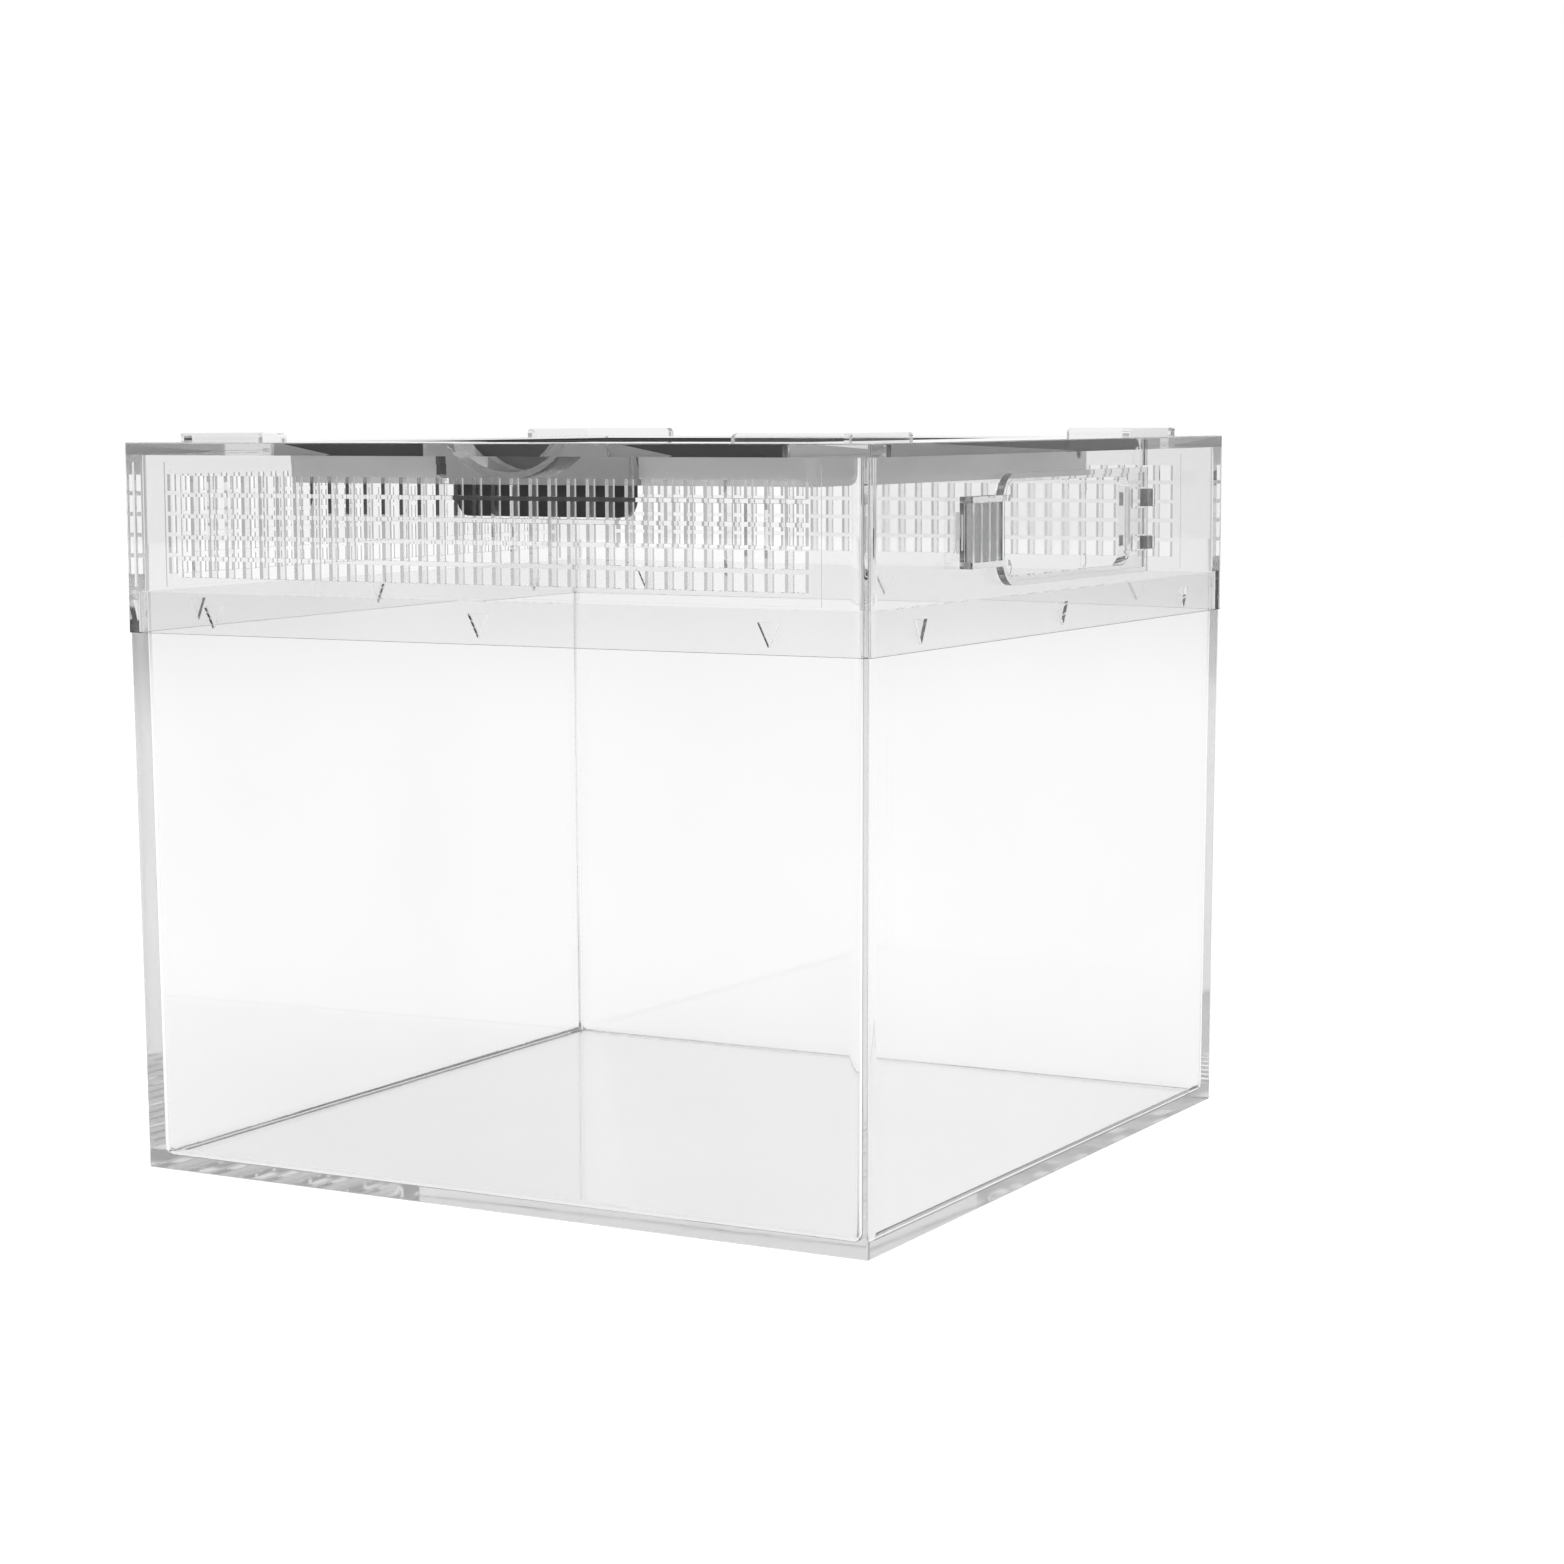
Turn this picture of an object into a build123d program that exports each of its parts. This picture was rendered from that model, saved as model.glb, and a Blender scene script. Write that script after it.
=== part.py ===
"""Clear moulded terrarium: a drafted tank, a vented lift-off hood, a feeding door and a black mesh lid.

Millimetres, +Z up. The origin is the centre of the tank's underside, the long front grille faces -Y
and the feeding door faces +X.
"""
import os
from math import radians, tan

from build123d import *

# Whole box
BOX_WIDTH = 200.0  # outside of the hood, each way
EDGE_R = 0.6  # small radius left on the outer edges
INNER_R = 2.5  # radius in the inner vertical corners
CLEARANCE = 0.3  # between pieces that come apart

# Tank
TANK_HEIGHT = 130.5  # underside to the shoulder that carries the hood
TANK_WALL = 3.0
TANK_FLOOR = 3.0
TANK_DRAFT = 0.43  # degrees on each side, so that the moulding leaves its tool
SHOULDER_INSET = 0.3  # how far the tank lies inside the hood's outer face
FLOOR_R = 2.0  # radius between the floor and the walls inside

# Hood
HOOD_HEIGHT = 45.3
HOOD_WALL = 3.0
HOOD_PLATE = 3.0  # thickness of the border round the lid
SKIRT_WALL = 1.6  # the hood's thin lower wall, which laps over the tank's rim
LAP_HEIGHT = 10.0

# Snap triangles in the lap
SNAP_WIDTH = 5.4
SNAP_HEIGHT = 5.5
SNAP_SPACING = 75.0
SNAP_TOP = 7.0  # above the shoulder
SNAP_DEPTH = 0.8  # of the pocket in the skirt
SNAP_RISE = 0.15  # of the bump on the rim

# Vent grilles
VENT_HOLE = 4.0
VENT_PITCH = 5.0
VENT_COLUMNS = 34
VENT_ROWS = 5
VENT_MARGIN = 3.0  # plain strip round the holes
VENT_THICKNESS = 2.4
VENT_CENTRE = 25.5  # above the shoulder

# Stacking ribs on the hood's corners
RIB_REACH = 90.5  # centre of the box to the rib's outer face
RIB_LEG = 29.5
RIB_WIDTH = 2.5
RIB_HEIGHT = 2.1
RIB_END_R = 1.2

# Lid and the recess that it lies in
LID_WIDTH = 139.0
LID_DEPTH = 139.5
LID_HEIGHT = 7.4
LID_DROP = 0.4  # lid's top below the hood's top
LID_BORDER = 8.0
LID_CORNER_R = 1.5
LID_SIDE_GAP = 0.8
RECESS_WALL = 2.0
LEDGE_WIDTH = 4.0
LEDGE_THICKNESS = 1.8
MESH_THICKNESS = 0.8
MESH_LAP = 3.0  # how far the mesh lies on the lid's border
MESH_SINK = 0.4  # mesh's top below the lid's top
PIN_RADIUS = 1.5
PIN_END_GAP = 0.4
HINGE_FIT = 0.05  # running clearance on the radius, for both hinges

# Lid's snap tongue and the thumb well in front of it
TONGUE_WIDTH = 49.0
TONGUE_THICKNESS = 2.0
TONGUE_LENGTH = 16.9
TONGUE_CORNER_R = 4.0
TONGUE_SWING = 0.9  # extra room in front, for the tongue's arc as the lid lifts
CATCH_WIDTH = 16.0
CATCH_HEIGHT = 1.2
CATCH_RISE = 0.3
CATCH_DROP = 10.6  # lid's top to the catch
WELL_WIDTH = 29.0
WELL_DEPTH = 6.8
WELL_LENGTH = 11.0
WELL_WALL = 1.6

# Feeding door and its opening
DOOR_FREE_Y = -39.0
DOOR_HEIGHT = 25.7
DOOR_CENTRE = 25.15  # above the shoulder
DOOR_THICKNESS = 1.8
DOOR_CORNER_R = 7.0
DOOR_BEAD = 1.2  # width of the raised border
DOOR_SINK = 0.5  # depth of the panel inside the border
DOOR_LAP = 2.0  # how far the door covers the wall round its opening
MARK_RADIUS = 1.7  # round ejector marks
MARK_DEPTH = 0.15
MARK_INSET = 4.2
MARK_SPACING = 42.0

# Door hinge: two open clips on the hood hold the door's round edge
HINGE_Y = 45.0
CLIP_WALL = 1.2
CLIP_MOUTH = 1.4
CLIP_FOOT_LENGTH = 15.0
CLIP_FOOT_HEIGHT = 1.0
LOWER_CLIP_BOTTOM = 17.9  # above the shoulder
LOWER_CLIP_HEIGHT = 3.2
UPPER_CLIP_BOTTOM = 28.4
UPPER_CLIP_HEIGHT = 4.3
CLIP_GAP = 0.4
STOP_RIB_WIDTH = 1.2
STOP_RIB_HEIGHT = 0.8

# Latch on the door's free edge
LATCH_LENGTH = 18.5
LATCH_HEIGHT = 16.0
LATCH_PLATE = 1.4
LATCH_RIM = 1.4
LATCH_RISE = 3.2  # height of the grip's ribs over the door's inner face
RIB_THICKNESS = 1.0
RIB_STEP = 4.1
GRIP_RIBS = 4
HOOK_THICKNESS = 1.4
HOOK_HEIGHT = 8.0
HOOK_INSET = 1.4
HOOK_NOSE = 0.3
KEEPER_GAP = 0.6

FRONT, RIGHT, BACK, LEFT = 270.0, 0.0, 90.0, 180.0
SNAP_SIDES = (FRONT, RIGHT, BACK, LEFT)

# Heights and half-widths that follow
hood_half = BOX_WIDTH / 2
slope = tan(radians(TANK_DRAFT))
shoulder_half = hood_half - SHOULDER_INSET
base_half = shoulder_half - TANK_HEIGHT * slope
skirt_inner_half = hood_half - SKIRT_WALL
rim_half = skirt_inner_half - CLEARANCE
rim_height = LAP_HEIGHT - CLEARANCE
rim_top = TANK_HEIGHT + rim_height
cavity_base_half = base_half + TANK_FLOOR * slope - TANK_WALL
cavity_top_half = base_half + rim_top * slope - TANK_WALL
hood_inner_half = hood_half - HOOD_WALL
hood_top = TANK_HEIGHT + HOOD_HEIGHT
plate_bottom = hood_top - HOOD_PLATE
lap_top = TANK_HEIGHT + LAP_HEIGHT
vent_z = TANK_HEIGHT + VENT_CENTRE
vent_field_width = (VENT_COLUMNS - 1) * VENT_PITCH + VENT_HOLE
vent_field_height = (VENT_ROWS - 1) * VENT_PITCH + VENT_HOLE
vent_width = vent_field_width + 2 * VENT_MARGIN
vent_height = vent_field_height + 2 * VENT_MARGIN

lid_top = hood_top - LID_DROP
lid_bottom = lid_top - LID_HEIGHT
lid_half = LID_WIDTH / 2
lid_nose_r = LID_HEIGHT / 2
lid_back = LID_DEPTH / 2
lid_front = -LID_DEPTH / 2
lid_axis_y = lid_back - lid_nose_r
lid_axis_z = lid_bottom + lid_nose_r
recess_half = lid_half + LID_SIDE_GAP
recess_back = lid_back + LID_SIDE_GAP
recess_front = lid_front - CLEARANCE
recess_depth = recess_back - recess_front
recess_middle = (recess_back + recess_front) / 2
ledge_top = lid_bottom - CLEARANCE
ledge_bottom = ledge_top - LEDGE_THICKNESS
ring_outer_width = 2 * (recess_half + RECESS_WALL)
ring_outer_depth = recess_depth + 2 * RECESS_WALL
ledge_opening_width = 2 * (recess_half - LEDGE_WIDTH)
ledge_opening_depth = recess_depth - 2 * LEDGE_WIDTH
slot_width = TONGUE_WIDTH + 2 * CLEARANCE
slot_front = lid_front - TONGUE_THICKNESS - CLEARANCE - TONGUE_SWING
slot_back = lid_front + CLEARANCE
mesh_half = lid_half - LID_BORDER + MESH_LAP
mesh_top = lid_top - MESH_SINK
mesh_bottom = mesh_top - MESH_THICKNESS
well_radius = (WELL_WIDTH**2 / 4 + WELL_DEPTH**2) / (2 * WELL_DEPTH)
well_centre_z = hood_top - WELL_DEPTH + well_radius

door_z = TANK_HEIGHT + DOOR_CENTRE
door_inner_x = hood_half + CLEARANCE
hinge_r = DOOR_THICKNESS / 2
hinge_x = door_inner_x + hinge_r
door_length = HINGE_Y - DOOR_FREE_Y
door_middle_y = (HINGE_Y + DOOR_FREE_Y) / 2
opening_length = door_length - DOOR_LAP - CLIP_FOOT_LENGTH / 2 - CLIP_GAP
opening_middle_y = DOOR_FREE_Y + DOOR_LAP + opening_length / 2
opening_height = DOOR_HEIGHT - 2 * DOOR_LAP
opening_r = DOOR_CORNER_R - DOOR_LAP
clip_outer_r = hinge_r + HINGE_FIT + CLIP_WALL
latch_end_y = DOOR_FREE_Y - LATCH_LENGTH
hook_y = latch_end_y + HOOK_INSET + HOOK_THICKNESS / 2
hook_reach = CLEARANCE + HOOD_WALL + 2 * CLEARANCE
clips = (
    (TANK_HEIGHT + LOWER_CLIP_BOTTOM, LOWER_CLIP_HEIGHT),
    (TANK_HEIGHT + UPPER_CLIP_BOTTOM, UPPER_CLIP_HEIGHT),
)


def side_plane(angle, reach):
    """A plane across one side of the box: its normal points out, its x runs along the side and its y up."""
    outward = Vector(1, 0, 0).rotate(Axis.Z, angle)
    along = Vector(0, 1, 0).rotate(Axis.Z, angle)
    return Plane(origin=outward * reach, x_dir=along, z_dir=outward)


def square(half, radius):
    """A rounded square about the box's axis."""
    return RectangleRounded(2 * half, 2 * half, radius)


def snap_triangles():
    """The row of three triangles in the lap of one side, each with its point down."""
    top = TANK_HEIGHT + SNAP_TOP
    with Locations((-SNAP_SPACING, top), (0, top), (SNAP_SPACING, top)):
        Polygon((-SNAP_WIDTH / 2, 0), (SNAP_WIDTH / 2, 0), (0, -SNAP_HEIGHT), align=None)


# Tank: a drafted box with a thinner rim that the hood's skirt laps over
with BuildPart() as tank:
    with BuildSketch():
        square(base_half, EDGE_R)
    with BuildSketch(Plane.XY.offset(TANK_HEIGHT)):
        square(shoulder_half, EDGE_R)
    loft()
    fillet(tank.edges().group_by(Axis.Z)[0], radius=EDGE_R / 2)
    with BuildSketch(Plane.XY.offset(TANK_HEIGHT)):
        square(rim_half, INNER_R)
    extrude(amount=rim_height)
    with BuildSketch(Plane.XY.offset(TANK_FLOOR)):
        square(cavity_base_half, INNER_R)
    with BuildSketch(Plane.XY.offset(rim_top)):
        square(cavity_top_half, INNER_R)
    loft(mode=Mode.SUBTRACT)
    floor_face = tank.faces().filter_by(Plane.XY).sort_by(Axis.Z)[1]
    fillet(floor_face.edges(), radius=FLOOR_R)
    with BuildSketch(*[side_plane(angle, rim_half) for angle in SNAP_SIDES]):
        snap_triangles()
    extrude(amount=SNAP_RISE)
tank.part.label = "tank"

# Hood: walls, thin skirt and top border in one moulding
with BuildPart() as hood:
    with BuildSketch(Plane.XY.offset(TANK_HEIGHT)):
        square(hood_half, EDGE_R)
    extrude(amount=HOOD_HEIGHT)
    fillet(hood.edges().group_by(Axis.Z)[-1], radius=EDGE_R / 2)
    with BuildSketch(Plane.XY.offset(TANK_HEIGHT)):
        square(skirt_inner_half, INNER_R)
    extrude(amount=LAP_HEIGHT, mode=Mode.SUBTRACT)
    with BuildSketch(Plane.XY.offset(lap_top)):
        square(hood_inner_half, INNER_R)
    extrude(amount=plate_bottom - lap_top, mode=Mode.SUBTRACT)
    with BuildSketch(*[side_plane(angle, skirt_inner_half) for angle in SNAP_SIDES]):
        snap_triangles()
    extrude(amount=SNAP_DEPTH, mode=Mode.SUBTRACT)

    # Lid recess: a wall hung from the border, with a ledge under the lid
    with BuildSketch(Plane.XY.offset(ledge_bottom)):
        with Locations((0, recess_middle)):
            RectangleRounded(ring_outer_width, ring_outer_depth, INNER_R)
    extrude(amount=plate_bottom - ledge_bottom)
    with BuildSketch(Plane.XY.offset(ledge_bottom)):
        with Locations((0, (slot_front + slot_back) / 2)):
            Rectangle(slot_width + 2 * RECESS_WALL, slot_back - slot_front + 2 * RECESS_WALL)
    extrude(amount=plate_bottom - ledge_bottom)

    # Thumb well: a round trough in front of the tongue
    with BuildSketch(Plane.XZ.offset(-slot_front)):
        with Locations((0, well_centre_z)):
            Circle(well_radius + WELL_WALL)
        with Locations((0, plate_bottom + HOOD_PLATE / 2)):
            Rectangle(
                2 * WELL_WIDTH, 2 * WELL_DEPTH + HOOD_PLATE, align=(Align.CENTER, Align.MAX), mode=Mode.INTERSECT
            )
    extrude(amount=WELL_LENGTH + WELL_WALL)
    with BuildSketch(Plane.XZ.offset(-slot_front - CLEARANCE)):
        with Locations((0, well_centre_z)):
            Circle(well_radius)
    extrude(amount=WELL_LENGTH + CLEARANCE, mode=Mode.SUBTRACT)

    # Openings for the lid, the light below it and the tongue
    with BuildSketch(Plane.XY.offset(ledge_top)):
        with Locations((0, recess_middle)):
            RectangleRounded(2 * recess_half, recess_depth, LID_CORNER_R)
    extrude(amount=hood_top - ledge_top, mode=Mode.SUBTRACT)
    with BuildSketch(Plane.XY.offset(ledge_bottom)):
        with Locations((0, recess_middle)):
            RectangleRounded(ledge_opening_width, ledge_opening_depth, INNER_R)
        with Locations((0, (slot_front + slot_back) / 2)):
            Rectangle(slot_width, slot_back - slot_front)
    extrude(amount=hood_top - ledge_bottom, mode=Mode.SUBTRACT)
    with BuildSketch(Plane.YZ):
        with Locations((lid_axis_y, lid_axis_z)):
            Circle(PIN_RADIUS + HINGE_FIT)
    extrude(amount=recess_half + RECESS_WALL, both=True, mode=Mode.SUBTRACT)

    # Stacking ribs: an L on each corner of the border
    with BuildSketch(Plane.XY.offset(hood_top)):
        for x_sign in (-1, 1):
            for y_sign in (-1, 1):
                corner = (x_sign * RIB_REACH, y_sign * RIB_REACH)
                inward = (-x_sign, -y_sign)
                long_way = (corner[0] + inward[0] * RIB_LEG / 2, corner[1] + inward[1] * RIB_WIDTH / 2)
                other_way = (corner[0] + inward[0] * RIB_WIDTH / 2, corner[1] + inward[1] * RIB_LEG / 2)
                with Locations(long_way):
                    Rectangle(RIB_LEG, RIB_WIDTH)
                with Locations(other_way):
                    Rectangle(RIB_WIDTH, RIB_LEG)
    extrude(amount=RIB_HEIGHT)
    rib_tops = hood.faces().filter_by(Plane.XY).group_by(Axis.Z)[-1].edges()
    rib_ends = rib_tops.filter_by(lambda edge: abs(edge.length - RIB_WIDTH) < CLEARANCE)
    fillet(rib_ends, radius=RIB_END_R)

    # Windows for the grilles, and the feeding opening with the latch's keeper slot
    with BuildSketch(*[side_plane(angle, hood_half) for angle in (FRONT, BACK, LEFT)]):
        with Locations((0, vent_z)):
            Rectangle(vent_width, vent_height)
    extrude(amount=-HOOD_WALL, mode=Mode.SUBTRACT)
    with BuildSketch(side_plane(RIGHT, hood_half)):
        with Locations((opening_middle_y, door_z)):
            RectangleRounded(opening_length, opening_height, opening_r)
        with Locations((hook_y, door_z)):
            Rectangle(HOOK_THICKNESS + 2 * KEEPER_GAP, HOOK_HEIGHT + 2 * KEEPER_GAP)
    extrude(amount=-HOOD_WALL, mode=Mode.SUBTRACT)

    # Hinge clips and the rib above them
    for clip_bottom, clip_height in clips:
        with BuildSketch(Plane.XY.offset(clip_bottom)):
            with Locations((hood_half - EDGE_R, HINGE_Y)):
                Rectangle(CLIP_FOOT_HEIGHT + EDGE_R, CLIP_FOOT_LENGTH, align=(Align.MIN, Align.CENTER))
            with Locations((hinge_x, HINGE_Y)):
                Circle(clip_outer_r)
        extrude(amount=clip_height)
        with BuildSketch(Plane.XY.offset(clip_bottom)):
            with Locations((hinge_x, HINGE_Y)):
                Circle(hinge_r + HINGE_FIT)
                Rectangle(2 * clip_outer_r, CLIP_MOUTH, align=(Align.MIN, Align.CENTER))
        extrude(amount=clip_height, mode=Mode.SUBTRACT)
    stop_rib_bottom = door_z + DOOR_HEIGHT / 2 + CLIP_GAP
    with BuildSketch(side_plane(RIGHT, hood_half)):
        with Locations((HINGE_Y + clip_outer_r, stop_rib_bottom)):
            Rectangle(STOP_RIB_WIDTH, hood_top - EDGE_R - stop_rib_bottom, align=(Align.CENTER, Align.MIN))
    extrude(amount=STOP_RIB_HEIGHT)
hood.part.label = "hood_frame"


def grille(angle, name):
    """One vent panel: a plate with rows of square holes, flush with the outside of its wall."""
    with BuildPart() as panel:
        with BuildSketch(side_plane(angle, hood_half)):
            with Locations((0, vent_z)):
                Rectangle(vent_width, vent_height)
                with GridLocations(VENT_PITCH, VENT_PITCH, VENT_COLUMNS, VENT_ROWS):
                    Rectangle(VENT_HOLE, VENT_HOLE, mode=Mode.SUBTRACT)
        extrude(amount=-VENT_THICKNESS)
    panel.part.label = name
    return panel.part


# Feeding door: a thin plate with a raised border, a round hinge edge and a ribbed latch
with BuildPart() as door:
    with BuildSketch(side_plane(RIGHT, door_inner_x)) as door_outline:
        with Locations((door_middle_y, door_z)):
            Rectangle(door_length, DOOR_HEIGHT)
        fillet(door_outline.vertices().group_by(Axis.X)[0], radius=DOOR_CORNER_R)
    extrude(amount=DOOR_THICKNESS)
    with BuildSketch(side_plane(RIGHT, door_inner_x + DOOR_THICKNESS)) as door_field:
        with Locations((door_middle_y - hinge_r / 2, door_z)):
            Rectangle(door_length - 2 * DOOR_BEAD - hinge_r, DOOR_HEIGHT - 2 * DOOR_BEAD)
        fillet(door_field.vertices().group_by(Axis.X)[0], radius=DOOR_CORNER_R - DOOR_BEAD)
    extrude(amount=-DOOR_SINK, mode=Mode.SUBTRACT)
    with BuildSketch(Plane.XY.offset(door_z - DOOR_HEIGHT / 2)):
        with Locations((hinge_x, HINGE_Y)):
            Circle(hinge_r)
    extrude(amount=DOOR_HEIGHT)
    for clip_bottom, clip_height in clips:
        with BuildSketch(side_plane(RIGHT, door_inner_x)):
            with Locations((HINGE_Y - CLIP_FOOT_LENGTH / 2 - CLIP_GAP, clip_bottom - CLIP_GAP)):
                Rectangle(
                    CLIP_FOOT_LENGTH + 2 * CLIP_GAP, clip_height + 2 * CLIP_GAP, align=(Align.MIN, Align.MIN)
                )
        extrude(amount=DOOR_THICKNESS, mode=Mode.SUBTRACT)
        with BuildSketch(Plane.XY.offset(clip_bottom - CLIP_GAP)):
            with Locations((hinge_x, HINGE_Y)):
                Circle(hinge_r)
        extrude(amount=clip_height + 2 * CLIP_GAP)
    with BuildSketch(side_plane(RIGHT, door_inner_x + DOOR_THICKNESS - DOOR_SINK)):
        with Locations((DOOR_FREE_Y + MARK_INSET + MARK_SPACING / 2, door_z)):
            with GridLocations(MARK_SPACING, DOOR_HEIGHT - 2 * MARK_INSET, 2, 2):
                Circle(MARK_RADIUS)
    extrude(amount=-MARK_DEPTH, mode=Mode.SUBTRACT)

    # Latch: a tab with a rim and grip ribs, and the hook that enters the hood's keeper slot
    with BuildSketch(side_plane(RIGHT, door_inner_x)):
        with Locations((latch_end_y, door_z)):
            Rectangle(LATCH_LENGTH + DOOR_BEAD, LATCH_HEIGHT, align=(Align.MIN, Align.CENTER))
    extrude(amount=LATCH_PLATE)
    with BuildSketch(side_plane(RIGHT, door_inner_x)):
        for rim_side in (-1, 1):
            with Locations((latch_end_y, door_z + rim_side * (LATCH_HEIGHT - LATCH_RIM) / 2)):
                Rectangle(LATCH_LENGTH + DOOR_BEAD, LATCH_RIM, align=(Align.MIN, Align.CENTER))
        for index in range(GRIP_RIBS):
            with Locations((latch_end_y + index * RIB_STEP, door_z)):
                Rectangle(RIB_THICKNESS, LATCH_HEIGHT, align=(Align.MIN, Align.CENTER))
    extrude(amount=LATCH_RISE)
    with BuildSketch(side_plane(RIGHT, door_inner_x)):
        with Locations((hook_y, door_z)):
            Rectangle(HOOK_THICKNESS, HOOK_HEIGHT)
    extrude(amount=-hook_reach)
    with BuildSketch(side_plane(RIGHT, door_inner_x - hook_reach)):
        with Locations((hook_y, door_z)):
            Rectangle(HOOK_THICKNESS + 2 * HOOK_NOSE, HOOK_HEIGHT)
    extrude(amount=CLEARANCE)
door.part.label = "feeding_door"

# Lid: a black frame with a round back edge on two pins, and a tongue that snaps in front
with BuildPart() as lid:
    with BuildSketch(Plane.XY.offset(lid_bottom)) as lid_outline:
        with Locations((0, (lid_front + lid_axis_y) / 2)):
            Rectangle(LID_WIDTH, lid_axis_y - lid_front)
        fillet(lid_outline.vertices().group_by(Axis.Y)[0], radius=LID_CORNER_R)
    extrude(amount=LID_HEIGHT)
    with BuildSketch(Plane.YZ):
        with Locations((lid_axis_y, lid_axis_z)):
            Circle(lid_nose_r)
    extrude(amount=lid_half, both=True)
    with BuildSketch(Plane.YZ):
        with Locations((lid_axis_y, lid_axis_z)):
            Circle(PIN_RADIUS)
    extrude(amount=recess_half + RECESS_WALL - PIN_END_GAP, both=True)
    with BuildSketch(Plane.XY.offset(lid_bottom)):
        square(lid_half - LID_BORDER, INNER_R)
    extrude(amount=LID_HEIGHT, mode=Mode.SUBTRACT)
    with BuildSketch(Plane.XY.offset(mesh_bottom)):
        square(mesh_half, INNER_R)
    extrude(amount=lid_top - mesh_bottom, mode=Mode.SUBTRACT)
    with BuildSketch(Plane.XZ.offset(-lid_front)) as tongue_outline:
        with Locations((0, lid_top)):
            Rectangle(TONGUE_WIDTH, TONGUE_LENGTH, align=(Align.CENTER, Align.MAX))
        fillet(tongue_outline.vertices().group_by(Axis.Y)[0], radius=TONGUE_CORNER_R)
    extrude(amount=TONGUE_THICKNESS)
    with BuildSketch(Plane.XZ.offset(-lid_front + TONGUE_THICKNESS)):
        with Locations((0, lid_top - CATCH_DROP)):
            Rectangle(CATCH_WIDTH, CATCH_HEIGHT)
    extrude(amount=CATCH_RISE)
lid.part.label = "lid_frame"

# Mesh panel that closes the lid's frame
with BuildPart() as mesh:
    with BuildSketch(Plane.XY.offset(mesh_bottom)):
        square(mesh_half, INNER_R)
    extrude(amount=MESH_THICKNESS)
mesh.part.label = "lid_mesh"

pieces = [
    tank.part,
    hood.part,
    grille(FRONT, "front_grille"),
    grille(BACK, "back_grille"),
    grille(LEFT, "left_grille"),
    door.part,
    lid.part,
    mesh.part,
]
os.makedirs("parts", exist_ok=True)
for piece in pieces:
    export_step(piece, f"parts/{piece.label}.step")
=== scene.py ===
"""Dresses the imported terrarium: clear mouldings, a black lid with its mesh, and a bright white studio."""
import math

import bmesh
import bpy
from mathutils import Matrix, Vector


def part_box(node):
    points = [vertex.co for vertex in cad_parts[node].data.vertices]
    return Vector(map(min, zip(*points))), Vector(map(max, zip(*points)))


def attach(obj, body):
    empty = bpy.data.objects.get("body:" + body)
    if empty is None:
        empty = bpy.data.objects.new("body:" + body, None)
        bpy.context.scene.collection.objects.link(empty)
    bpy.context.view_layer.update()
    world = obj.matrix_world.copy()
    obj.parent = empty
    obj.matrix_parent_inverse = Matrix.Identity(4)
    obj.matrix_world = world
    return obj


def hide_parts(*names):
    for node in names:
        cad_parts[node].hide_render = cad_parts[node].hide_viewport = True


bl_info = {
    "name": "Terrarium Looks",
    "version": (1, 0, 0),
    "blender": (4, 5, 0),
    "location": "View3D > Sidebar > Terrarium",
    "description": "Finishes the terrarium's clear mouldings, black lid and mesh, and sets its studio",
    "category": "Object",
}

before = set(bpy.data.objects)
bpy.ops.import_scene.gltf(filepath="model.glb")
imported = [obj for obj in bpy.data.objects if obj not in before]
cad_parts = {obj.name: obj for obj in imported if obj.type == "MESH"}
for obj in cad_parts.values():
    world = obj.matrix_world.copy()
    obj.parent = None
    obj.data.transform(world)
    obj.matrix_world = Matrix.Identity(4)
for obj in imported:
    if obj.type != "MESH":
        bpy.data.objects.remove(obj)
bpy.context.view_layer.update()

MM = 0.001
HOOD_NODES = ("hood_frame", "front_grille", "back_grille", "left_grille")
MERGE_GAP = 0.001 * MM

# Refraction of the clear and the black plastic, both assumed
STYRENE_IOR = 1.51
BLACK_IOR = 1.5

# Sockets of a Mix node that mixes colours
FIRST_COLOUR = 6
SECOND_COLOUR = 7
MIXED_COLOUR = 2

# Which faces of the mouldings get painted shade or painted light of their own, in millimetres from the box's
# axis or the ground
LATCH_FLOOR = 101.7  # out to the bottoms of the latch's grip slots
LATCH_SLACK = 0.05
LATCH_END = -40.0  # along Y, where the latch meets the door's plate
DOOR_EDGE_END = 43.0  # along Y, where the door's plate meets its round hinge edge
CLIP_START = 100.1  # out past the hood's wall
RECESS_REACH = (68.0, 73.0)  # out, a range that holds the faces of the lid's recess wall
RECESS_RISE = (165.0, 172.9)  # up, a range that holds the same faces below the border

# How much of a face's normal lies along an axis
FACING = 0.9  # it looks along the axis
CROSSWISE = 0.3  # it looks across the axis
CLIP_CROSSWISE = 0.7

# The lid's mesh
RIM_WIDTH = 3.4 * MM
RIM_BEVEL = 0.15 * MM
WIRE_SIDES = 6
WIRE_INSET = 2 * MM  # from the rim's outside to the ends of the wires
LAYER_LIFT = 0.4  # from the mesh's middle to a layer's middle, in wire widths
SPARE_PITCHES = 2  # how many fewer wires there are than pitches across the panel

# The camera, as fitted to the box's corners in the photograph
VIEW_AZIMUTH = 28.883351
VIEW_ELEVATION = 6.256535
VIEW_ROLL = -0.223670
VIEW_PLACE = Vector((430.371, -737.706, 183.142)) * MM
FOCAL_PIXELS = 3403.554
PICTURE_PIXELS = 1564
SENSOR_WIDTH = 36.0
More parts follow.
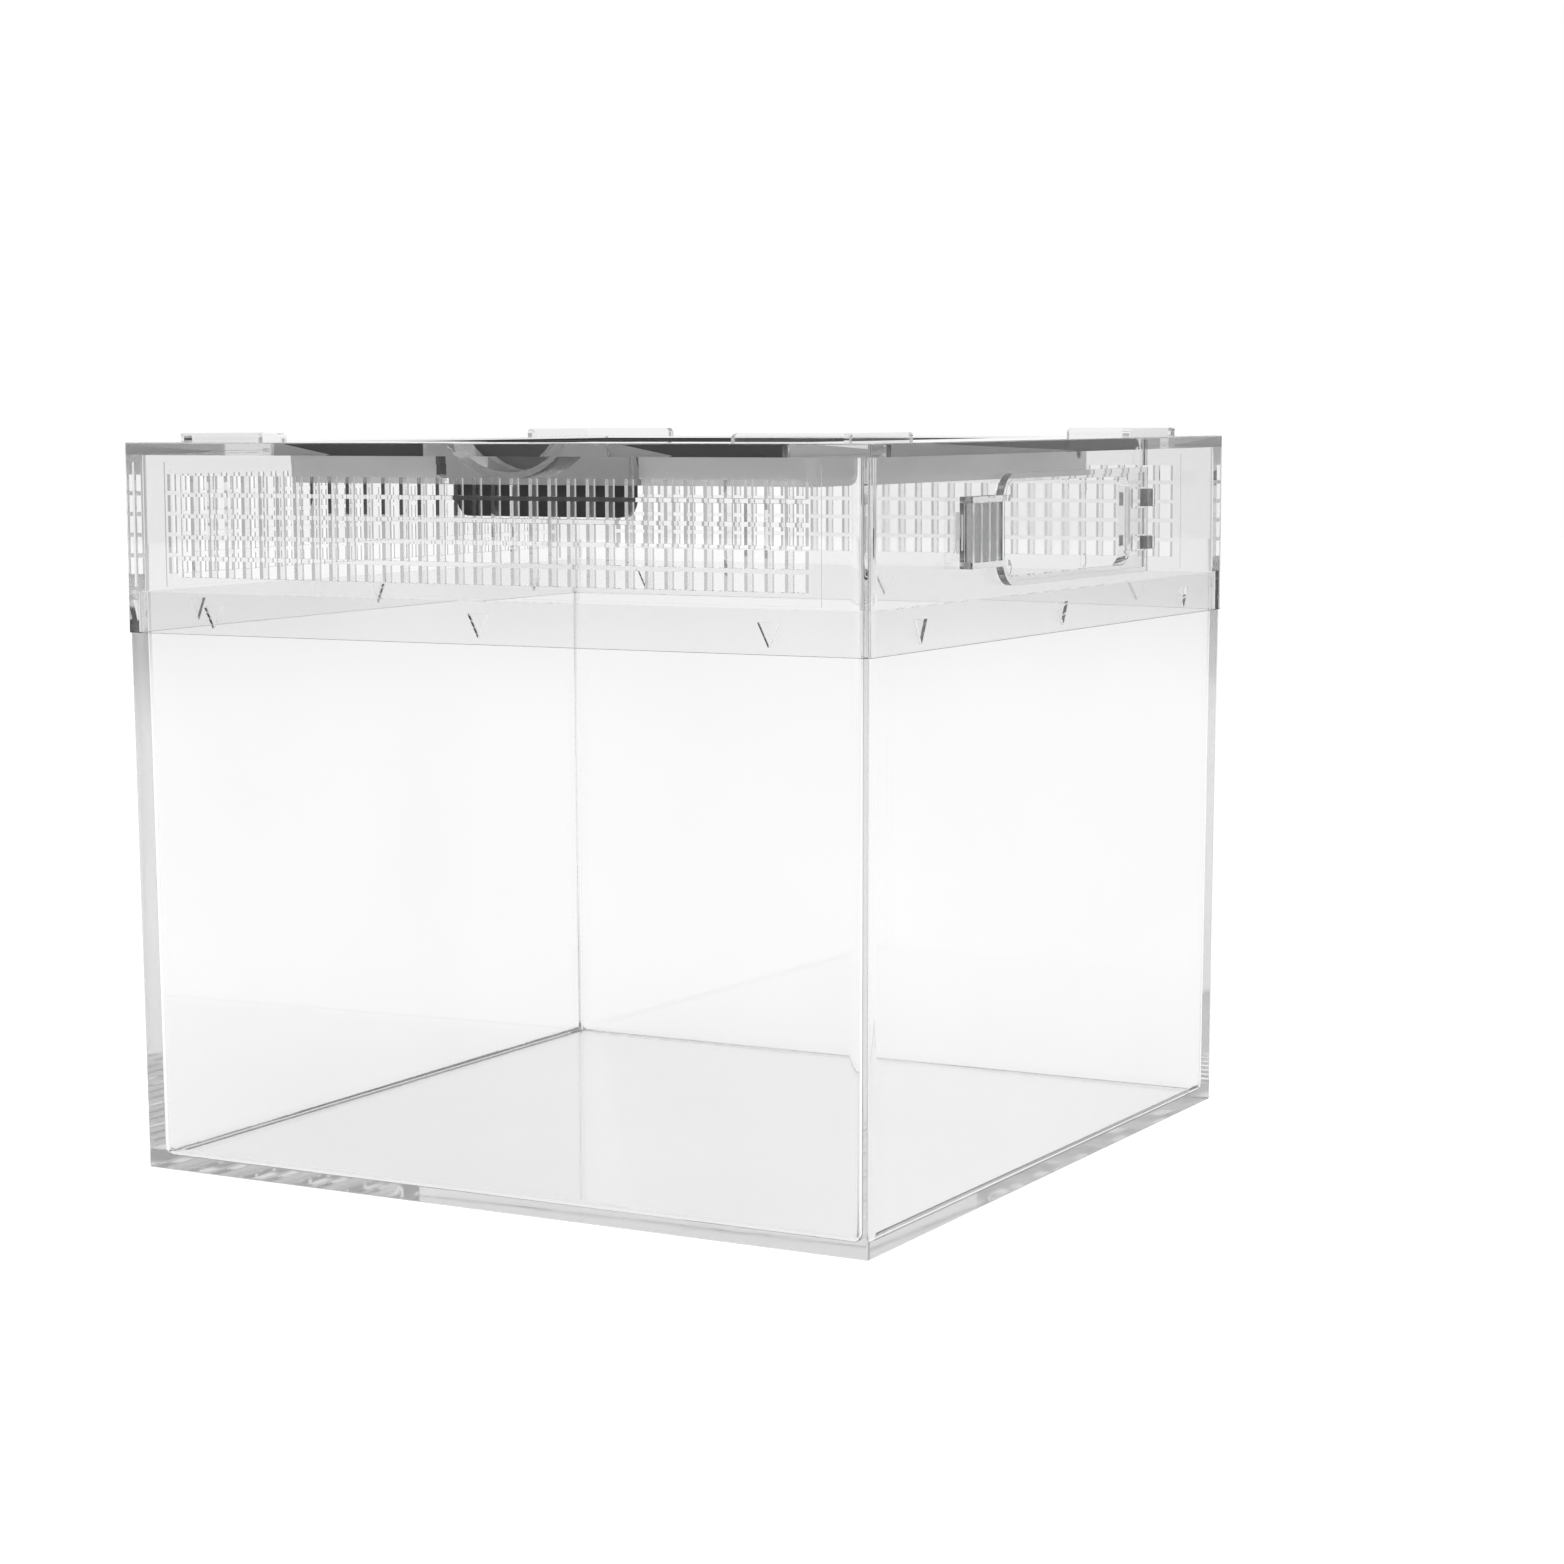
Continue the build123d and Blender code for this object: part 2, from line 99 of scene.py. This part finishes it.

# The studio. Its levels were chosen against the photograph's brightness.
LIGHT_BOUNCES = 96
FLOOR_RADIUS = 4.0
FLOOR_DROP = 0.05 * MM
FLOOR_GLOW = 0.87
FLOOR_GLOW_SEEN = 1.1  # times the glow, where the camera looks at the floor itself
FLOOR_FLAG = (0.9, 2.2)  # metres to the side, where the floor starts and stops getting darker
SURROUND_FLAG = (0.42, 0.92)  # sideways part of a direction, where the surround does the same
CEILING_RISE = (0.35, 0.9)  # upward part of a direction, where the surround darkens overhead
CEILING_SHARE = 0.72
LAMPS = (  # name, place in metres, size in metres, share of the lamps' power
    ("soft_top", (0.2, -0.3, 1.3), 1.2, 1.0),
    ("soft_left", (-1.1, -0.9, 0.7), 0.8, 0.5),
)
LAMP_TARGET = Vector((0, 0, 80 * MM))


def linear(hex_colour):
    """An sRGB hex colour as linear red, green, blue and alpha."""
    channels = [int(hex_colour[i:i + 2], 16) / 255 for i in (1, 3, 5)]
    return [c / 12.92 if c <= 0.04045 else ((c + 0.055) / 1.055) ** 2.4 for c in channels] + [1.0]


def add_node(material, kind, settings=None, values=None, links=None):
    """Adds a node, sets its properties and sockets, and links its inputs from other nodes' outputs."""
    tree = material.node_tree
    node = tree.nodes.new(kind)
    for name, value in (settings or {}).items():
        setattr(node, name, value)
    for socket, value in (values or {}).items():
        node.inputs[socket].default_value = value
    for socket, output in (links or {}).items():
        tree.links.new(output, node.inputs[socket])
    return node


def new_material(name):
    """An empty node material."""
    material = bpy.data.materials.new(name)
    material.use_nodes = True
    material.node_tree.nodes.clear()
    return material


def set_surface(material, shader, inside=None):
    """Ends a material in its output node, with what lies inside its skin where that matters."""
    links = {"Surface": shader}
    if inside:
        links["Volume"] = inside
    add_node(material, "ShaderNodeOutputMaterial", links=links)


def object_coordinates(material):
    """The piece's own coordinates, in metres."""
    return add_node(material, "ShaderNodeTexCoord").outputs["Object"]


def noise(material, size_mm, detail, roughness=0.5):
    """Soft noise over a piece, in patches of about this size."""
    node = add_node(
        material, "ShaderNodeTexNoise",
        values={"Scale": 1000 / size_mm, "Detail": detail, "Roughness": roughness},
        links={"Vector": object_coordinates(material)},
    )
    return node.outputs["Fac"]


def remap(material, value, source, target, interpolation="LINEAR"):
    """A value moved from one range to another, and held at the ends."""
    node = add_node(
        material, "ShaderNodeMapRange", settings={"interpolation_type": interpolation},
        values={"From Min": source[0], "From Max": source[1], "To Min": target[0], "To Max": target[1]},
        links={"Value": value},
    )
    return node.outputs["Result"]


def blend(material, factor, first, second):
    """A colour between two hex colours."""
    node = add_node(
        material, "ShaderNodeMix", settings={"data_type": "RGBA"},
        values={FIRST_COLOUR: linear(first), SECOND_COLOUR: linear(second)}, links={"Factor": factor},
    )
    return node.outputs[MIXED_COLOUR]


def combine(material, operation, first, second):
    """Two values multiplied, or the larger of them, by the operation's name."""
    node = add_node(
        material, "ShaderNodeMath", settings={"operation": operation}, links={0: first, 1: second}
    )
    return node.outputs["Value"]


def bump(material, height, strength, distance):
    """Relief in a skin, without moving its mesh."""
    node = add_node(
        material, "ShaderNodeBump", values={"Strength": strength, "Distance": distance},
        links={"Height": height},
    )
    return node.outputs["Normal"]


def clear_styrene(name, tint, ripple_mm, density):
    """Clear plastic, taken to be styrene acrylic: glassy, with faint ripples in its skin.

    The tint and the loss of light were chosen so that the walls and edges read against white.
    """
    material = new_material(name)
    # Low ripples tens of millimetres long, a guess at a moulding's flow marks
    skin = bump(material, noise(material, ripple_mm, 2.0, 0.45), 0.05, 0.35 * MM)
    # Haze: a touch duller in soft patches, a guess at wear from handling
    polish = remap(material, noise(material, 18, 4.0), (0.35, 0.8), (0.0, 0.045))
    colour = blend(material, noise(material, 70, 2.0), tint, "#fbfbfb")
    shader = add_node(
        material, "ShaderNodeBsdfPrincipled", values={"IOR": STYRENE_IOR, "Transmission Weight": 1.0},
        links={"Base Color": colour, "Roughness": polish, "Normal": skin},
    )
    # Under 1% is lost through a wall and about a quarter along 200 mm of one, at the default loss
    loss = add_node(
        material, "ShaderNodeVolumeAbsorption", values={"Color": linear("#000000"), "Density": density}
    )
    set_surface(material, shader.outputs["BSDF"], loss.outputs["Volume"])
    return material


def painted_shade_styrene(name, hex_colour):
    """Painted shade: a smoky grey on clear parts that show dark, where the real plastic is clear and the dark
    is shade and refraction. The grey is a stand-in, chosen to match how dark they look.
    """
    material = new_material(name)
    colour = blend(material, noise(material, 5, 2.0), hex_colour, "#828385")
    shader = add_node(
        material, "ShaderNodeBsdfPrincipled",
        values={"IOR": STYRENE_IOR, "Transmission Weight": 0.6, "Roughness": 0.08},
        links={"Base Color": colour},
    )
    set_surface(material, shader.outputs["BSDF"])
    return material


def painted_light_styrene(name, tint):
    """Painted light: a milky white skin that makes clear walls read brighter, chosen for its brightness.
    Nothing seen says that the real wall is satin.
    """
    material = new_material(name)
    clear = remap(material, noise(material, 30, 3.0), (0.3, 0.7), (0.1, 0.24))
    shader = add_node(
        material, "ShaderNodeBsdfPrincipled",
        values={"Base Color": linear(tint), "IOR": STYRENE_IOR, "Roughness": 0.22},
        links={"Transmission Weight": clear},
    )
    set_surface(material, shader.outputs["BSDF"])
    return material


def black_abs(name, hex_colour):
    """Black plastic, taken to be ABS with a fine moulded grain: dark and softly glossy."""
    material = new_material(name)
    # Drawn coarser than a moulded grain usually is, so that it can show
    skin = bump(material, noise(material, 0.4, 3.0), 0.35, 0.03 * MM)
    wear = noise(material, 25, 5.0)
    shader = add_node(
        material, "ShaderNodeBsdfPrincipled", values={"IOR": BLACK_IOR},
        links={
            "Base Color": blend(material, wear, hex_colour, "#26262a"),
            "Roughness": remap(material, wear, (0.3, 0.75), (0.3, 0.46)),
            "Normal": skin,
        },
    )
    set_surface(material, shader.outputs["BSDF"])
    return material


def black_wire(name, hex_colour):
    """Black wire, taken to be powder-coated: matt and slightly uneven, with paler patches."""
    material = new_material(name)
    powder = noise(material, 1.2, 3.0)
    shader = add_node(
        material, "ShaderNodeBsdfPrincipled", values={"IOR": BLACK_IOR},
        links={
            "Base Color": blend(material, powder, hex_colour, "#34353a"),
            "Roughness": remap(material, powder, (0.0, 1.0), (0.55, 0.8)),
        },
    )
    set_surface(material, shader.outputs["BSDF"])
    return material


def deselect_all():
    """Nothing stays selected, so that the next operator acts only on what it makes."""
    if bpy.context.object and bpy.context.object.mode != "OBJECT":
        bpy.ops.object.mode_set(mode="OBJECT")
    bpy.ops.object.select_all(action="DESELECT")


def bake_place(piece):
    """Moves the piece's place into its mesh."""
    deselect_all()
    piece.select_set(True)
    bpy.context.view_layer.objects.active = piece
    bpy.ops.object.transform_apply(location=True, rotation=True, scale=True)


def merge_doubles(piece):
    """Joins the piece's loose triangles and points its faces outwards."""
    deselect_all()
    piece.select_set(True)
    bpy.context.view_layer.objects.active = piece
    bpy.ops.object.mode_set(mode="EDIT")
    bpy.ops.mesh.select_all(action="SELECT")
    bpy.ops.mesh.remove_doubles(threshold=MERGE_GAP)
    bpy.ops.mesh.normals_make_consistent(inside=False)
    bpy.ops.object.mode_set(mode="OBJECT")


def copy_of(node_name, piece_name):
    """A copy of a CAD node, with a merged mesh of its own."""
    piece = bpy.data.objects.new(piece_name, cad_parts[node_name].data.copy())
    bpy.context.scene.collection.objects.link(piece)
    merge_doubles(piece)
    return piece


def give(piece, material):
    """The piece wears only this material."""
    piece.data.materials.clear()
    piece.data.materials.append(material)


def paint_faces(piece, material, chosen):
    """Gives some faces another material. They are chosen by their place in millimetres and their normal."""
    piece.data.materials.append(material)
    index = len(piece.data.materials) - 1
    for face in piece.data.polygons:
        if chosen(face.center / MM, face.normal):
            face.material_index = index


def is_door_edge(place, normal):
    """The edges of the door's plate, and the bottoms of the latch's grip slots, which get painted shade."""
    slot_floor = normal.x > FACING and place.y < LATCH_END and abs(place.x - LATCH_FLOOR) < LATCH_SLACK
    plate_edge = abs(normal.x) < CROSSWISE and LATCH_END < place.y < DOOR_EDGE_END
    return slot_floor or plate_edge


def is_recess_wall(place, normal):
    """The upright walls of the lid's recess, below the border, which get painted light."""
    reach = max(abs(place.x), abs(place.y))
    upright = abs(normal.z) < CROSSWISE
    return upright and RECESS_REACH[0] < reach < RECESS_REACH[1] and RECESS_RISE[0] < place.z < RECESS_RISE[1]


def is_clip_edge(place, normal):
    """The ends and edges of the hinge clips, which get painted shade."""
    return place.x > CLIP_START and abs(normal.x) < CLIP_CROSSWISE


class TerrariumClear(bpy.types.PropertyGroup):
    """The clear mouldings' finish."""

    tint: bpy.props.StringProperty(
        name="Tint", description="sRGB hex colour that tints the plastic", default="#f4f4f4"
    )
    ripple: bpy.props.FloatProperty(
        name="Ripple", description="Length of the flow ripples in millimetres", default=38.0, min=5.0
    )
    density: bpy.props.FloatProperty(
        name="Loss", description="Absorption per metre of plastic", default=1.4, min=0.0
    )


class TerrariumLid(bpy.types.PropertyGroup):
    """The black lid and its mesh."""

    colour: bpy.props.StringProperty(
        name="Black", description="sRGB hex colour of the lid", default="#28282b"
    )
    pitch: bpy.props.FloatProperty(
        name="Mesh Pitch", description="Spacing of the mesh's wires", default=1.6 * MM, min=0.8 * MM,
        subtype="DISTANCE", unit="LENGTH",
    )
    wire: bpy.props.FloatProperty(
        name="Wire Width", description="Diameter of the mesh's wires", default=0.42 * MM, min=0.1 * MM,
        subtype="DISTANCE", unit="LENGTH",
    )


class TerrariumStudio(bpy.types.PropertyGroup):
    """The floor, the light and the camera."""

    surround: bpy.props.FloatProperty(
        name="Surround", description="Brightness of the surround on diffuse surfaces", default=0.78, min=0.0
    )
    flag: bpy.props.FloatProperty(
        name="Flag", description="How much the two side flags darken the surround", default=0.52,
        min=0.0, max=1.0,
    )
    lamp: bpy.props.FloatProperty(
        name="Lamp", description="Power of the overhead soft lamp", default=3.0, min=0.0, unit="POWER"
    )


class TERRARIUM_OT_clear(bpy.types.Operator):
    """Finishes the tank and the feeding door in clear styrene acrylic, and the hood as one moulding of it."""

    bl_idname = "terrarium.clear"
    bl_label = "Clear Mouldings"

    def execute(self, context):
        options = context.scene.terrarium_clear
        material = clear_styrene("clear_styrene_moulded", options.tint, options.ripple, options.density)
        give(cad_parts["tank"], material)
        door = copy_of("feeding_door", "door_moulding")
        give(door, material)
        # Painted shade: a smoky grey on the door's plate edges and the latch's slot bottoms, where the clear
        # plastic shows dark.
        painted_shade_grey = painted_shade_styrene("painted_shade_slots_and_edges", "#b4b5b7")
        paint_faces(door, painted_shade_grey, is_door_edge)
        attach(door, "door")
        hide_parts("feeding_door")
        hood = self.mould_hood()
        give(hood, material)
        # Painted light: a milky white skin on the recess wall below the border, so that it reads brighter.
        paint_faces(hood, painted_light_styrene("painted_light_recess_wall", options.tint), is_recess_wall)
        # Painted shade: the same grey on the ends and edges of the hinge clips.
        paint_faces(hood, painted_shade_grey, is_clip_edge)
        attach(hood, "hood")
        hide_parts(*HOOD_NODES)
        return {"FINISHED"}

    def mould_hood(self):
        """The hood's frame with its three grilles fused in, so that no seam shows round them."""
        hood = copy_of("hood_frame", "hood_moulding")
        for name in HOOD_NODES[1:]:
            panel = copy_of(name, "panel")
            union = hood.modifiers.new("fuse", "BOOLEAN")
            union.operation = "UNION"
            union.solver = "EXACT"
            union.object = panel
            deselect_all()
            bpy.context.view_layer.objects.active = hood
            bpy.ops.object.modifier_apply(modifier=union.name)
            bpy.data.objects.remove(panel)
        merge_doubles(hood)
        return hood


class TERRARIUM_OT_lid(bpy.types.Operator):
    """Finishes the lid's frame in black ABS."""

    bl_idname = "terrarium.lid"
    bl_label = "Lid Frame"

    def execute(self, context):
        give(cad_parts["lid_frame"], black_abs("black_abs_moulded", context.scene.terrarium_lid.colour))
        return {"FINISHED"}


class TERRARIUM_OT_mesh(bpy.types.Operator):
    """Lays the lid's mesh as two crossing layers of straight wire, in a flat rim on the frame's rebate."""

    bl_idname = "terrarium.mesh"
    bl_label = "Lid Mesh"

    def execute(self, context):
        options = context.scene.terrarium_lid
        low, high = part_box("lid_mesh")
        middle = (low + high) / 2
        reach = (high.x - low.x) / 2
        rim = self.make_rim(low, high, middle)
        count = int(2 * reach / options.pitch) - SPARE_PITCHES
        wires = []
        for turned in (False, True):
            wires.append(self.lay_wires(options, middle, reach, count, turned))
        deselect_all()
        for piece in (*wires, rim):
            piece.select_set(True)
        context.view_layer.objects.active = rim
        bpy.ops.object.join()
        rim.name = "woven_mesh"
        bake_place(rim)
        give(rim, black_wire("black_powder_coated_wire", "#1c1c1f"))
        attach(rim, "lid")
        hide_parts("lid_mesh")
        return {"FINISHED"}

    def make_rim(self, low, high, middle):
        """The flat rim round the mesh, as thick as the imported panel."""
        deselect_all()
        bpy.ops.mesh.primitive_cube_add(size=1.0, location=middle)
        rim = bpy.context.object
        rim.scale = high - low
        bake_place(rim)
        bpy.ops.object.mode_set(mode="EDIT")
        bpy.ops.mesh.select_mode(type="FACE")
        bpy.ops.mesh.select_all(action="DESELECT")
        data = bmesh.from_edit_mesh(rim.data)
        for face in data.faces:
            face.select = abs(face.normal.z) > FACING
        bmesh.update_edit_mesh(rim.data)
        bpy.ops.mesh.inset(thickness=RIM_WIDTH)
        bpy.ops.mesh.bridge_edge_loops()
        bpy.ops.object.mode_set(mode="OBJECT")
        bevel = rim.modifiers.new("edge", "BEVEL")
        bevel.width = RIM_BEVEL
        bevel.segments = 2
        bpy.ops.object.modifier_apply(modifier=bevel.name)
        return rim

    def lay_wires(self, options, middle, reach, count, turned):
        """One layer of parallel six-sided wires, made once and repeated by an array."""
        deselect_all()
        lift = options.wire * (LAYER_LIFT if turned else -LAYER_LIFT)
        first = -(count - 1) / 2 * options.pitch
        offset = Vector((0, first, lift)) if turned else Vector((first, 0, lift))
        turn = (0, math.pi / 2, 0) if turned else (math.pi / 2, 0, 0)
        bpy.ops.mesh.primitive_cylinder_add(
            vertices=WIRE_SIDES, radius=options.wire / 2, depth=2 * (reach - WIRE_INSET),
            location=middle + offset, rotation=turn,
        )
        wire = bpy.context.object
        bake_place(wire)
        array = wire.modifiers.new("row", "ARRAY")
        array.count = count
        array.use_relative_offset = False
        array.use_constant_offset = True
        array.constant_offset_displace = (0, options.pitch, 0) if turned else (options.pitch, 0, 0)
        bpy.ops.object.modifier_apply(modifier=array.name)
        return wire


def side_flag(material, place, span, share):
    """How bright the set is at a place or in a direction: it darkens towards the flag at each side."""
    azimuth = math.radians(VIEW_AZIMUTH)
    side = Vector((math.cos(azimuth), math.sin(azimuth), 0.0))
    across = add_node(
        material, "ShaderNodeVectorMath", settings={"operation": "DOT_PRODUCT"}, values={1: side},
        links={0: place},
    )
    sideways = add_node(
        material, "ShaderNodeMath", settings={"operation": "ABSOLUTE"}, links={0: across.outputs["Value"]}
    )
    return remap(material, sideways.outputs["Value"], span, (1.0, 1.0 - share), "SMOOTHSTEP")


class TERRARIUM_OT_studio(bpy.types.Operator):
    """Sets the white floor and surround, the soft lamps and the camera."""

    bl_idname = "terrarium.studio"
    bl_label = "Studio"

    def execute(self, context):
        options = context.scene.terrarium_studio
        context.scene.view_settings.view_transform = "Standard"
        # At Blender's own limits the box's upright edges render much darker
        context.scene.cycles.max_bounces = LIGHT_BOUNCES
        context.scene.cycles.transmission_bounces = LIGHT_BOUNCES
        context.scene.cycles.glossy_bounces = LIGHT_BOUNCES
        self.make_camera(context)
        self.make_floor(options)
        self.make_surround(context, options)
        self.make_lamps(options)
        return {"FINISHED"}

    def make_camera(self, context):
        """The photograph's view: its angle, height, distance and focal length."""
        azimuth, elevation = math.radians(VIEW_AZIMUTH), math.radians(VIEW_ELEVATION)
        back = Vector((
            math.sin(azimuth) * math.cos(elevation),
            -math.cos(azimuth) * math.cos(elevation),
            math.sin(elevation),
        ))
        deselect_all()
        bpy.ops.object.camera_add(location=VIEW_PLACE)
        camera = context.object
        camera.name = "camera"
        level = (-back).to_track_quat("-Z", "Y").to_matrix()
        camera.matrix_world = Matrix.Translation(VIEW_PLACE) @ (
            level @ Matrix.Rotation(math.radians(VIEW_ROLL), 3, "Z")
        ).to_4x4()
        camera.data.sensor_width = SENSOR_WIDTH
        camera.data.lens = FOCAL_PIXELS / PICTURE_PIXELS * SENSOR_WIDTH
        camera.data.clip_start = 10 * MM
        camera.data.clip_end = 100.0
        context.scene.camera = camera

    def make_floor(self, options):
        """A floor that glows white, with a diffuse part that takes the object's soft shadow."""
        deselect_all()
        bpy.ops.mesh.primitive_circle_add(
            vertices=96, radius=FLOOR_RADIUS, fill_type="NGON", location=(0, 0, -FLOOR_DROP)
        )
        floor = bpy.context.object
        floor.name = "floor"
        bake_place(floor)
        material = new_material("white_studio_floor")
        paint = add_node(material, "ShaderNodeBsdfDiffuse", values={"Color": linear("#8c8c8c")})
        path = add_node(material, "ShaderNodeLightPath")
        # Painted shade: the glow that gloss and transmission rays see darkens towards each side of the set,
        # where the flags stand in the surround; the camera still sees an even floor.
        flagged = side_flag(material, object_coordinates(material), FLOOR_FLAG, options.flag)
        strength = add_node(
            material, "ShaderNodeMix", values={"B": FLOOR_GLOW_SEEN},
            links={"Factor": path.outputs["Is Camera Ray"], "A": flagged},
        )
        bright = add_node(
            material, "ShaderNodeMath", settings={"operation": "MULTIPLY"}, values={1: FLOOR_GLOW},
            links={0: strength.outputs["Result"]},
        )
        glow = add_node(
            material, "ShaderNodeEmission", values={"Color": linear("#ffffff")},
            links={"Strength": bright.outputs["Value"]},
        )
        both = add_node(
            material, "ShaderNodeAddShader", links={0: paint.outputs["BSDF"], 1: glow.outputs["Emission"]}
        )
        # Rays that left a diffuse surface meet plain paint here, and don't see the glow
        plain = add_node(material, "ShaderNodeBsdfDiffuse", values={"Color": linear("#e8e8e8")})
        seen = combine(material, "MAXIMUM", path.outputs["Is Camera Ray"], path.outputs["Is Glossy Ray"])
        through = combine(material, "MAXIMUM", seen, path.outputs["Is Transmission Ray"])
        mixed = add_node(
            material, "ShaderNodeMixShader",
            links={0: through, 1: plain.outputs["BSDF"], 2: both.outputs["Shader"]},
        )
        set_surface(material, mixed.outputs["Shader"])
        give(floor, material)

    def make_surround(self, context, options):
        """A white surround that darkens towards a flag at each side, and overhead."""
        world = bpy.data.worlds.new("white_surround")
        world.use_nodes = True
        world.node_tree.nodes.clear()
        context.scene.world = world
        direction = add_node(world, "ShaderNodeTexCoord").outputs["Generated"]
        height = add_node(world, "ShaderNodeSeparateXYZ", links={"Vector": direction})
        flag = side_flag(world, direction, SURROUND_FLAG, options.flag)
        ceiling = remap(world, height.outputs["Z"], CEILING_RISE, (1.0, CEILING_SHARE), "SMOOTHSTEP")
        path = add_node(world, "ShaderNodeLightPath")
        lit = add_node(
            world, "ShaderNodeMix", values={"B": options.surround},
            links={
                "Factor": path.outputs["Is Diffuse Ray"], "A": combine(world, "MULTIPLY", flag, ceiling),
            },
        )
        strength = add_node(
            world, "ShaderNodeMix", values={"B": 1.0},
            links={"Factor": path.outputs["Is Camera Ray"], "A": lit.outputs["Result"]},
        )
        white = add_node(
            world, "ShaderNodeBackground", values={"Color": linear("#ffffff")},
            links={"Strength": strength.outputs["Result"]},
        )
        add_node(world, "ShaderNodeOutputWorld", links={"Surface": white.outputs["Background"]})

    def make_lamps(self, options):
        """One large soft lamp overhead and a weaker one from the left front."""
        for name, place, size, share in LAMPS:
            deselect_all()
            bpy.ops.object.light_add(type="AREA", location=place)
            lamp = bpy.context.object
            lamp.name = name
            lamp.data.size = size
            lamp.data.energy = options.lamp * share
            lamp.rotation_mode = "QUATERNION"
            lamp.rotation_quaternion = (LAMP_TARGET - Vector(place)).to_track_quat("-Z", "Y")


class TERRARIUM_PT_sidebar(bpy.types.Panel):
    """Lists the terrarium's sizes, finishes and steps."""

    bl_label = "Terrarium"
    bl_idname = "TERRARIUM_PT_sidebar"
    bl_space_type = "VIEW_3D"
    bl_region_type = "UI"
    bl_category = "Terrarium"

    def draw(self, context):
        for setting in SETTINGS:
            group = getattr(context.scene, setting)
            for name in group.__annotations__:
                self.layout.prop(group, name)
        for operator in OPERATORS:
            self.layout.operator(operator.bl_idname)


OPERATORS = (TERRARIUM_OT_clear, TERRARIUM_OT_lid, TERRARIUM_OT_mesh, TERRARIUM_OT_studio)
SETTINGS = {
    "terrarium_clear": TerrariumClear,
    "terrarium_lid": TerrariumLid,
    "terrarium_studio": TerrariumStudio,
}


def register():
    """Makes the property groups, operators and panel known."""
    for kind in (*SETTINGS.values(), *OPERATORS, TERRARIUM_PT_sidebar):
        bpy.utils.register_class(kind)
    for name, kind in SETTINGS.items():
        setattr(bpy.types.Scene, name, bpy.props.PointerProperty(type=kind))


def unregister():
    """Takes them away again."""
    for name in SETTINGS:
        delattr(bpy.types.Scene, name)
    for kind in reversed((*SETTINGS.values(), *OPERATORS, TERRARIUM_PT_sidebar)):
        bpy.utils.unregister_class(kind)


def main():
    """Runs each step in order."""
    register()
    bpy.ops.terrarium.clear()
    bpy.ops.terrarium.lid()
    bpy.ops.terrarium.mesh()
    bpy.ops.terrarium.studio()


if __name__ == "__main__":
    main()
